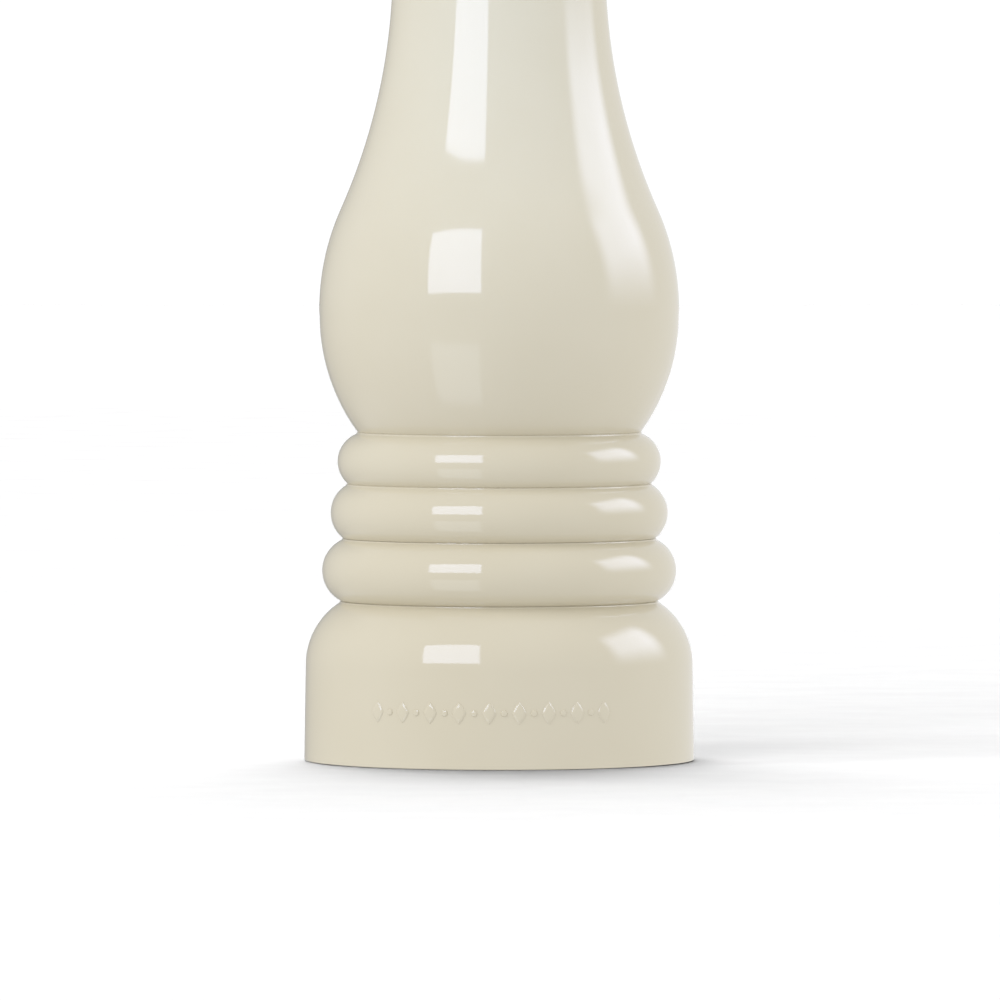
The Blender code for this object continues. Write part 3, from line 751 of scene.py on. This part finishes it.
def build_screws(finish):
    """Pan-head screws with a cross recess, and ridges for their thread."""
    ridges = 12
    pitch = 0.55
    depth = 0.17
    outline = [(0.0, SCREW_TOP), (0.5, SCREW_TOP)]
    for i in range(ridges):
        height = SCREW_TOP - 0.8 - pitch * i
        outline += [(SCREW_RADIUS, height), (SCREW_RADIUS - depth, height - pitch / 2)]
    outline += [(SCREW_RADIUS, 2.9), (1.95, 2.9), (1.95, 2.2), (1.4, 1.8), (0.0, 1.8)]
    mesh = turned_mesh("screw", soften(outline, 0.12, closed=False), SMALL_SEGMENTS)
    slots = [block_mesh((2.0, 0.5, 1.0), (0.0, 0.0, 2.0), math.pi / 2 * i) for i in range(2)]
    mesh = cut(mesh, *slots)
    for i, (x, y) in enumerate(screw_places()):
        placed = mesh.copy()
        placed.transform(Matrix.Translation((x * MM, y * MM, 0.0)))
        name = f"base_screw_{i + 1}"
        add_piece(f"pan_screw_{i + 1}", placed, finish, "mill_body", [name])


def build_sleeve(finish):
    """The hopper's tube, with the bay below it."""
    skirt_r = FLANGE_RADIUS + 1.7
    bay_r = BARREL_RADIUS + 1.7
    ledge = FLANGE_TOP + 1.8
    outer = [(PLATE_RADIUS, MECHANISM_BOTTOM), (PLATE_RADIUS, SLEEVE_FOOT_TOP), (skirt_r, SLEEVE_FOOT_TOP)]
    outer += [(skirt_r, ledge), (bay_r, ledge), (bay_r, 51.0)]
    outer += [(SLEEVE_OUTER, 54.6), (SLEEVE_OUTER, SLEEVE_TOP)]
    inner = [(FLANGE_RADIUS + GAP, MECHANISM_BOTTOM), (FLANGE_RADIUS + GAP, FLANGE_TOP + GAP)]
    inner += [(BARREL_RADIUS + GAP, FLANGE_TOP + GAP), (BARREL_RADIUS + GAP, 50.6)]
    inner += [(BORE, 54.0), (BORE, SLEEVE_TOP)]
    mesh = turned_mesh("hopper", soften(ring_outline(outer, inner), 0.2), PART_SEGMENTS)
    holes = [rod_mesh(CLEARANCE_HOLE, 3.0, 8.0, x, y) for x, y in screw_places()]
    add_piece("hopper", cut(mesh, *holes), finish, "mill_body", ["hopper_sleeve"])


def build_mouth_ring(finish):
    """The L-shaped ring that the head turns on."""
    top = body_top()
    outer = [(RING_SEAT - GAP, top - RING_SEAT_DEPTH + GAP), (RING_SEAT - GAP, top + GAP)]
    outer += [(16.5, top + GAP), (16.5, top + 1.1)]
    inner = [(BORE, top - RING_SEAT_DEPTH + GAP), (BORE, top + 1.1)]
    mesh = turned_mesh("mouth_ring", soften(ring_outline(outer, inner), 0.22), CASING_SEGMENTS)
    add_piece("mouth_ring", mesh, finish, "mill_body", ["glide_ring"])


def build_housing(finish):
    """The mechanism's housing, with its three-armed bridge."""
    outer = [(FLANGE_RADIUS, MECHANISM_BOTTOM), (FLANGE_RADIUS, FLANGE_TOP)]
    outer += [(BARREL_RADIUS, FLANGE_TOP), (BARREL_RADIUS, BARREL_TOP)]
    seat = BURR_OUTER + GAP
    inner = [(18.2, MECHANISM_BOTTOM), (18.2, BURR_BOTTOM), (seat, BURR_BOTTOM), (seat, BURR_TOP + GAP)]
    inner += [(12.6, BURR_TOP + GAP), (16.7, 25.0), (16.7, BARREL_TOP)]
    mesh = turned_mesh("housing", soften(ring_outline(outer, inner), 0.2), PART_SEGMENTS)
    middle = (SPIDER_BOTTOM + SPIDER_TOP) / 2
    arm_count = 3
    arm_size = (9.5, 3.0, SPIDER_TOP - SPIDER_BOTTOM)
    turns = [math.tau * i / arm_count for i in range(arm_count)]
    arms = [block_mesh(arm_size, (12.9, 0.0, middle), turn, 0.25) for turn in turns]
    bridge = rod_mesh(9.0, SPIDER_BOTTOM - 0.2, SPIDER_TOP - 0.2, segments=PART_SEGMENTS)
    bush_hole = rod_mesh(6.9, SPIDER_BOTTOM - 1.0, SPIDER_TOP + 1.0, segments=PART_SEGMENTS)
    mesh = cut(join(mesh, *arms, bridge), bush_hole)
    add_piece("housing", mesh, finish, "mill_body", ["mechanism_housing"])


def toothed_section(tip_low, tip_high, depth, twist):
    """Points of a ring of saw teeth, as a function of the share of its height."""

    def section(share):
        tip = between((tip_low, tip_high), share)
        points = []
        for i in range(BURR_TEETH):
            for phase, radius in ((0.0, tip - depth), (0.27, tip - 0.06), (0.3, tip), (0.36, tip - 0.04)):
                angle = math.tau * (i + phase) / BURR_TEETH + twist * share
                points.append((radius * math.cos(angle), radius * math.sin(angle)))
        return points

    return section


def build_burrs(finish):
    """The fixed ring and the turning cone, with their teeth."""
    outline = [(0.0, BURR_TOP), (BURR_OUTER, BURR_TOP), (BURR_OUTER, BURR_BOTTOM), (0.0, BURR_BOTTOM)]
    ring = turned_mesh("burr_ring", soften(outline, 0.25, closed=False), PART_SEGMENTS)
    teeth = toothed_section(14.1, 12.5, 0.9, math.radians(-16))
    ring = cut(ring, lofted_mesh("outer_teeth", teeth, levels(BURR_BOTTOM - 1.0, BURR_TOP + 1.0, 14)))
    add_piece("burr_ring", ring, finish, "mill_body", ["outer_burr"])
    teeth = toothed_section(12.4, 8.1, 0.9, math.radians(30))
    cone = lofted_mesh("burr_cone", teeth, levels(HUB_BOTTOM + 1.3, BURR_TOP, 16))
    cone = cut(cone, rod_mesh(6.4, 3.0, 20.0))
    add_piece("burr_cone", cone, finish, "burr_carriage", ["inner_burr"])


def build_small_white_pieces(finish):
    """The burr's retainer, the shaft's bush and the burr's hub."""
    outline = washer_outline(13.6, 17.9, MECHANISM_BOTTOM, BURR_BOTTOM - GAP)
    mesh = turned_mesh("retaining_ring", soften(outline, 0.25), CASING_SEGMENTS)
    add_piece("retaining_ring", mesh, finish, "mill_body", ["burr_retainer"])
    outer = [(6.6, 43.6), (6.6, SPIDER_TOP + GAP), (8.6, SPIDER_TOP + GAP), (8.6, SPIDER_TOP + 1.3)]
    outline = ring_outline(outer, [(4.4, 43.6), (4.4, SPIDER_TOP + 1.3)])
    mesh = turned_mesh("bush", soften(outline, 0.2), PART_SEGMENTS)
    add_piece("bush", mesh, finish, "mill_body", ["shaft_bush"])
    outer = [(8.6, HUB_BOTTOM), (8.6, HUB_BOTTOM + 1.0), (6.1, HUB_BOTTOM + 1.0), (6.1, HUB_TOP)]
    outline = [(0.0, HUB_TOP)] + list(reversed(outer)) + [(0.0, HUB_BOTTOM)]
    mesh = turned_mesh("hub", soften(outline, 0.15, closed=False), PART_SEGMENTS)
    mesh = cut(mesh, block_mesh((SQUARE_HOLE, SQUARE_HOLE, 30.0), (0.0, 0.0, 12.0)))
    add_piece("hub", mesh, finish, "burr_carriage", ["burr_hub"])


def build_shaft(finish):
    """The square rod, its clip's groove and its round stud."""
    height = SHAFT_TOP - SQUARE_BOTTOM
    size = (SHAFT_SIDE, SHAFT_SIDE, height)
    mesh = block_mesh(size, (0.0, 0.0, SQUARE_BOTTOM + height / 2), 0.0, 0.35)
    mesh = join(mesh, rod_mesh(STUD_RADIUS, STUD_BOTTOM, SQUARE_BOTTOM + 1.0))
    outline = washer_outline(2.7, 6.0, CLIP_BOTTOM - 0.2, CLIP_TOP + 0.2)
    mesh = cut(mesh, turned_mesh("groove", outline, SMALL_SEGMENTS))
    add_piece("square_shaft", mesh, finish, "spindle", ["drive_shaft"])


def build_spring(finish):
    """The spring from the washer up to the feeder."""
    around = 16
    per_turn = 40
    count = int(SPRING_TURNS * per_turn) + 1
    low = WASHER_TOP + GAP + SPRING_WIRE
    high = FEEDER_BOTTOM - GAP - SPRING_WIRE
    rings = []
    for i, height in enumerate(levels(low, high, count)):
        angle = math.tau * SPRING_TURNS * i / (count - 1)
        ring = []
        for side in range(around):
            facing = math.tau * side / around
            radius = SPRING_COIL + SPRING_WIRE * math.cos(facing)
            up = height + SPRING_WIRE * math.sin(facing)
            ring.append(Vector((radius * math.cos(angle), radius * math.sin(angle), up)) * MM)
        rings.append(ring)
    mesh = mesh_through("coil_spring", rings)
    spring = finished("coil_spring", mesh, finish, ["pressure_spring"])
    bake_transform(spring)


def build_dial(finish):
    """The grind dial, with rounded ribs round it and a grip across it."""
    ribs = 18
    around = ribs * 12

    def section(share):
        shrink = 0.35 * max(0.0, 1 - min(share, 1 - share) / 0.12) ** 2
        points = []
        for i in range(around):
            angle = math.tau * i / around
            wave = math.cos(angle * ribs)
            depth = 0.5 / (1 + math.exp(6 * wave))
            radius = KNOB_RADIUS - depth - shrink
            points.append((radius * math.cos(angle), radius * math.sin(angle)))
        return points

    mesh = lofted_mesh("dial", section, levels(KNOB_BOTTOM, KNOB_TOP, 25))
    mesh = join(mesh, block_mesh((12.0, 2.4, 1.4), (0.0, 0.0, KNOB_BOTTOM - 0.1), 0.0, 0.3))
    mesh = cut(mesh, rod_mesh(4.1, 2.9, 6.0, segments=6), rod_mesh(2.4, 2.35, 3.5))
    add_piece("dial", mesh, finish, "adjuster", ["adjuster_knob"])


def build_plug(finish, grip_finish):
    """The head's plug, with its rubber ring."""
    flange_bottom = body_top() + SEAM + 1.0
    flange_top = flange_bottom + 2.1
    spigot_bottom = 138.3
    outline = [(0.0, 177.0), (10.0, 177.0), (11.0, 176.0), (11.0, flange_top), (15.7, flange_top)]
    outline += [(15.7, flange_bottom), (12.9, flange_bottom), (12.9, 139.3), (11.9, spigot_bottom)]
    outline += [(11.4, spigot_bottom), (11.4, 147.0), (8.8, 147.0), (8.8, spigot_bottom)]
    outline += [(0.0, spigot_bottom)]
    mesh = turned_mesh("plug", soften(outline, 0.2, closed=False), CASING_SEGMENTS)
    socket = block_mesh((SQUARE_HOLE, SQUARE_HOLE, 40.0), (0.0, 0.0, 152.4))
    mesh = cut(mesh, socket, rod_mesh(6.4, 140.5, 142.9))
    add_piece("plug", mesh, finish, "head", ["head_plug"])
    grip = arc(5.2, 141.7, 0.85, math.pi / 2, -3 * math.pi / 2, 25)[:-1]
    ring = turned_mesh("rubber_ring", grip, PART_SEGMENTS)
    add_piece("rubber_ring", ring, grip_finish, "head", ["grip_ring"])


def foot_wall(height):
    """The foot's radius at a height."""
    share = (height - FOOT_EDGE) / (SHOULDER[1] - FOOT_EDGE)
    return FOOT_RADIUS + (SHOULDER[0] + SHOULDER[2] - FOOT_RADIUS) * share


def pillow(form, side, half_size, pointed):
    """One raised figure on the front of the foot, side mm along the wall: a lozenge or a round stud."""
    half_width, half_height = half_size
    around = 24
    steps = ((1.0, -0.08), (0.93, 0.35), (0.78, 0.8), (0.5, 0.97))  # share of its size, share of its rise
    rings = []

    def on_wall(along, up, proud):
        radius = foot_wall(up) + proud
        angle = along / FOOT_RADIUS
        return form.verts.new((radius * MM * math.sin(angle), -radius * MM * math.cos(angle), up * MM))

    for size, share in steps:
        ring = []
        for i in range(around):
            angle = math.tau * i / around
            c, s = math.cos(angle), math.sin(angle)
            reach = 1 / (abs(c) + abs(s)) if pointed else 1.0
            rounding = 0.88 + 0.12 * abs(math.sin(2 * angle)) if pointed else 1.0
            along = side + half_width * size * reach * rounding * c
            up = PATTERN_HEIGHT + half_height * size * reach * rounding * s
            ring.append(on_wall(along, up, PATTERN_PROUD * share))
        rings.append(ring)
    for lower, upper in zip(rings, rings[1:]):
        for i in range(around):
            form.faces.new((lower[i - 1], lower[i], upper[i], upper[i - 1]))
    form.faces.new(list(reversed(rings[0])))
    crown = on_wall(side, PATTERN_HEIGHT, PATTERN_PROUD)
    for i in range(around):
        form.faces.new((rings[-1][i - 1], rings[-1][i], crown))


def build_pattern(finish):
    """A plain row of lozenges and studs moulded on the foot, in place of lettering."""
    form = bmesh.new()
    for i in range(PATTERN_COUNT):
        side = PATTERN_SIDE + (i - (PATTERN_COUNT - 1) / 2) * PATTERN_PITCH
        if i % 2:
            pillow(form, side, PATTERN_STUD, False)
        else:
            pillow(form, side, PATTERN_LOZENGE, True)
    bmesh.ops.recalc_face_normals(form, faces=form.faces)
    mesh = mesh_from("foot_pattern", form)
    add_piece("foot_pattern", mesh, finish, "mill_body")


# Camera, floor and light


def build_camera():
    camera = bpy.data.cameras.new("camera")
    obj = bpy.data.objects.new("camera", camera)
    bpy.context.scene.collection.objects.link(obj)
    place = Vector((AIM_SIDE, -CAMERA_DISTANCE, CAMERA_HEIGHT)) * MM
    aim = Vector((AIM_SIDE, 0.0, AIM_HEIGHT)) * MM
    obj.location = place
    obj.rotation_mode = "QUATERNION"
    obj.rotation_quaternion = (aim - place).to_track_quat("-Z", "Y")
    camera.sensor_width = SENSOR
    camera.lens = SENSOR * (aim - place).length / (FRAME_WIDTH * MM)
    camera.clip_start = 0.05
    camera.clip_end = 100.0
    bpy.context.scene.camera = obj


def staged(name, mesh, material):
    obj = bpy.data.objects.new(name, mesh)
    bpy.context.scene.collection.objects.link(obj)
    mesh.materials.append(material)
    return obj


def only_seen(obj):
    """Leaves an object in the camera's view, and out of the light on the others."""
    obj.visible_diffuse = False
    obj.visible_glossy = False
    obj.visible_shadow = False


def floor_finish():
    """Matt white from above. From below it is clear, which leaves the mill's underside in view."""
    finish = Finish("floor", FLOOR_COLOUR, 0.7)
    finish.vary_roughness(finish.noise(40.0), 0.65, 0.75)
    finish.shader.inputs["Specular IOR Level"].default_value = 0.1
    tree = finish.tree
    side = tree.nodes.new("ShaderNodeNewGeometry").outputs["Backfacing"]
    clear = tree.nodes.new("ShaderNodeBsdfTransparent")
    either = tree.nodes.new("ShaderNodeMixShader")
    tree.links.new(side, either.inputs["Fac"])
    tree.links.new(finish.shader.outputs["BSDF"], either.inputs[1])
    tree.links.new(clear.outputs["BSDF"], either.inputs[2])
    tree.links.new(either.outputs["Shader"], tree.nodes["Material Output"].inputs["Surface"])
    return finish.material


def build_floor():
    """A plain pale floor, just below the foot."""
    form = bmesh.new()
    bmesh.ops.create_circle(form, cap_ends=True, segments=96, radius=STUDIO_RADIUS)
    floor = staged("floor", mesh_from("floor", form), floor_finish())
    floor.location.z = -FLOOR_DROP * MM
    only_seen(floor)
    return floor


def build_backdrop():
    """A white globe all round the studio, which only the camera sees."""
    form = bmesh.new()
    bmesh.ops.create_icosphere(form, subdivisions=3, radius=STUDIO_RADIUS * 1.05)
    backdrop = staged("backdrop", mesh_from("backdrop", form), glow("backdrop", (1.0, 1.0, 1.0), 1.05))
    only_seen(backdrop)


def build_surroundings():
    world = bpy.data.worlds.new("studio")
    world.use_nodes = True
    background = world.node_tree.nodes["Background"]
    background.inputs["Color"].default_value = (1.0, 1.0, 1.0, 1.0)
    background.inputs["Strength"].default_value = WORLD_STRENGTH
    bpy.context.scene.world = world


def direction(azimuth, elevation):
    """The way from the mill to a light. Azimuth 0 is the camera's side, and positive is to its right."""
    a = math.radians(azimuth)
    e = math.radians(elevation)
    return Vector((math.sin(a) * math.cos(e), -math.cos(a) * math.cos(e), math.sin(e)))


def build_lamp(name, towards, energy, angle):
    """A broad light that only lights and shades: the cards make the reflections."""
    light = bpy.data.lights.new(name, "SUN")
    light.energy = energy
    light.angle = math.radians(angle)
    obj = bpy.data.objects.new(name, light)
    bpy.context.scene.collection.objects.link(obj)
    obj.rotation_mode = "QUATERNION"
    obj.rotation_quaternion = direction(*towards).to_track_quat("Z", "Y")
    obj.visible_glossy = False
    return obj


def glow(name, colour, strength, soft=None):
    """A plain glowing material. soft = ((left, right), (bottom, top)) fades its edges over those shares."""
    made = bpy.data.materials.new(name)
    made.use_nodes = True
    tree = made.node_tree
    tree.nodes.clear()
    light = tree.nodes.new("ShaderNodeEmission")
    light.inputs["Color"].default_value = (*colour, 1.0)
    light.inputs["Strength"].default_value = strength
    output = tree.nodes.new("ShaderNodeOutputMaterial")
    if not soft:
        tree.links.new(light.outputs["Emission"], output.inputs["Surface"])
        return made
    clear = tree.nodes.new("ShaderNodeBsdfTransparent")
    mix = tree.nodes.new("ShaderNodeMixShader")
    tree.links.new(faded(tree, soft), mix.inputs["Fac"])
    tree.links.new(clear.outputs["BSDF"], mix.inputs[1])
    tree.links.new(light.outputs["Emission"], mix.inputs[2])
    tree.links.new(mix.outputs["Shader"], output.inputs["Surface"])
    return made


def faded(tree, soft):
    """A factor that is 1 over the middle of a card and 0 at its edges."""
    split = tree.nodes.new("ShaderNodeSeparateXYZ")
    tree.links.new(tree.nodes.new("ShaderNodeTexCoord").outputs["UV"], split.inputs["Vector"])
    total = None
    for axis, (start, end) in zip("XY", soft):
        for edge, inside in ((0.0, start), (1.0, 1.0 - end)):
            fade = tree.nodes.new("ShaderNodeMapRange")
            fade.interpolation_type = "SMOOTHSTEP"
            tree.links.new(split.outputs[axis], fade.inputs["Value"])
            fade.inputs["From Min"].default_value = edge
            fade.inputs["From Max"].default_value = inside
            if total:
                both = tree.nodes.new("ShaderNodeMath")
                both.operation = "MULTIPLY"
                tree.links.new(total, both.inputs[0])
                tree.links.new(fade.outputs["Result"], both.inputs[1])
                total = both.outputs["Value"]
            else:
                total = fade.outputs["Result"]
    return total


def build_card(name, place, finish):
    """A sheet of light seen only in the gloss. place gives the point at each share across and up."""
    steps = 24
    form = bmesh.new()
    form.loops.layers.uv.new()
    bmesh.ops.create_grid(form, x_segments=steps, y_segments=steps, size=1.0, calc_uvs=True)
    for vert in form.verts:
        vert.co = place((vert.co.x + 1) / 2, (vert.co.y + 1) / 2)
    card = staged(name, mesh_from(name, form), finish)
    card.visible_camera = False
    card.visible_diffuse = False
    card.visible_shadow = False


def build_softbox(name, facing, bottom, top, heights, colour, strength, soft):
    """An upright softbox in the facing azimuth.

    bottom and top say how far it runs along its wall, and heights how far above the floor, in metres.
    """
    turn = Matrix.Rotation(math.radians(facing), 3, "Z")

    def place(across, up):
        low = between(bottom, across)
        high = between(top, across)
        along = between((low, high), up)
        return turn @ Vector((along, -SOFTBOX_DISTANCE, between(heights, up)))

    build_card(name, place, glow(name, colour, strength, soft))


def build_neck_light():
    """A cool spotlight from the front that fades in up the neck."""
    light = bpy.data.lights.new("neck_light", "SPOT")
    light.color = NECK_LIGHT_COLOUR
    light.energy = NECK_LIGHT_POWER
    light.spot_size = math.radians(NECK_LIGHT_ANGLE)
    light.spot_blend = 1.0
    light.shadow_soft_size = 0.05
    obj = bpy.data.objects.new("neck_light", light)
    bpy.context.scene.collection.objects.link(obj)
    towards = direction(*NECK_LIGHT_FROM)
    obj.location = towards * NECK_LIGHT_DISTANCE + Vector((0.0, 0.0, NECK_LIGHT_AIM * MM))
    obj.rotation_mode = "QUATERNION"
    obj.rotation_quaternion = towards.to_track_quat("Z", "Y")
    obj.visible_glossy = False


def build_flag():
    """A dark screen at the left rear, which keeps the gloss from whitening the left edge."""

    def place(across, up):
        azimuth = between(FLAG_AZIMUTHS, across)
        elevation = between(FLAG_ELEVATIONS, up)
        return direction(azimuth, elevation) * FLAG_DISTANCE

    build_card("flag", place, glow("flag", (1.0, 1.0, 1.0), FLAG_STRENGTH, FLAG_SOFT))


def build_lamps(floor):
    """The lamps for the mill, and those that shine on the floor alone."""
    floor_only = bpy.data.collections.new("floor_only")
    floor_only.objects.link(floor)
    for name, towards, energy, angle in LAMPS:
        build_lamp(name, towards, energy, angle)
    for name, towards, energy, angle in FLOOR_LAMPS:
        lamp = build_lamp(name, towards, energy, angle)
        lamp.light_linking.receiver_collection = floor_only


def build_light(floor):
    build_surroundings()
    build_lamps(floor)
    for softbox in SOFTBOXES:
        build_softbox(*softbox)
    build_neck_light()
    build_flag()


def finish_cad_nodes(nodes, finishes):
    """Gives each CAD node that stays in view the finish of its slot."""
    for slot, (finish, names) in finishes.items():
        for name in names:
            nodes[name].data.materials.clear()
            nodes[name].data.materials.append(finish)


def main():
    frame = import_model()
    bpy.context.scene.view_settings.view_transform = "Standard"

    gloss = ivory_gloss()
    grey = grey_plastic()
    white = white_plastic()
    small_steel = spring_steel()
    finish_cad_nodes(
        frame["nodes"],
        {
            "white_mechanism_plastic": (white, ["feeder"]),
            "stainless_steel": (small_steel, ["retaining_clip", "spring_washer"]),
            "brass": (brass(), ["adjuster_nut"]),
        },
    )
    build_casing(gloss)
    build_head(gloss)
    build_cap(brushed_steel())
    build_pattern(gloss)
    build_plate(grey)
    build_screws(small_steel)
    build_sleeve(ivory_satin())
    build_mouth_ring(white)
    build_housing(grey)
    build_burrs(ceramic())
    build_small_white_pieces(white)
    build_shaft(drawn_aluminium())
    build_spring(small_steel)
    build_dial(grey)
    build_plug(white, rubber())
    build_camera()
    floor = build_floor()
    build_backdrop()
    build_light(floor)


main()
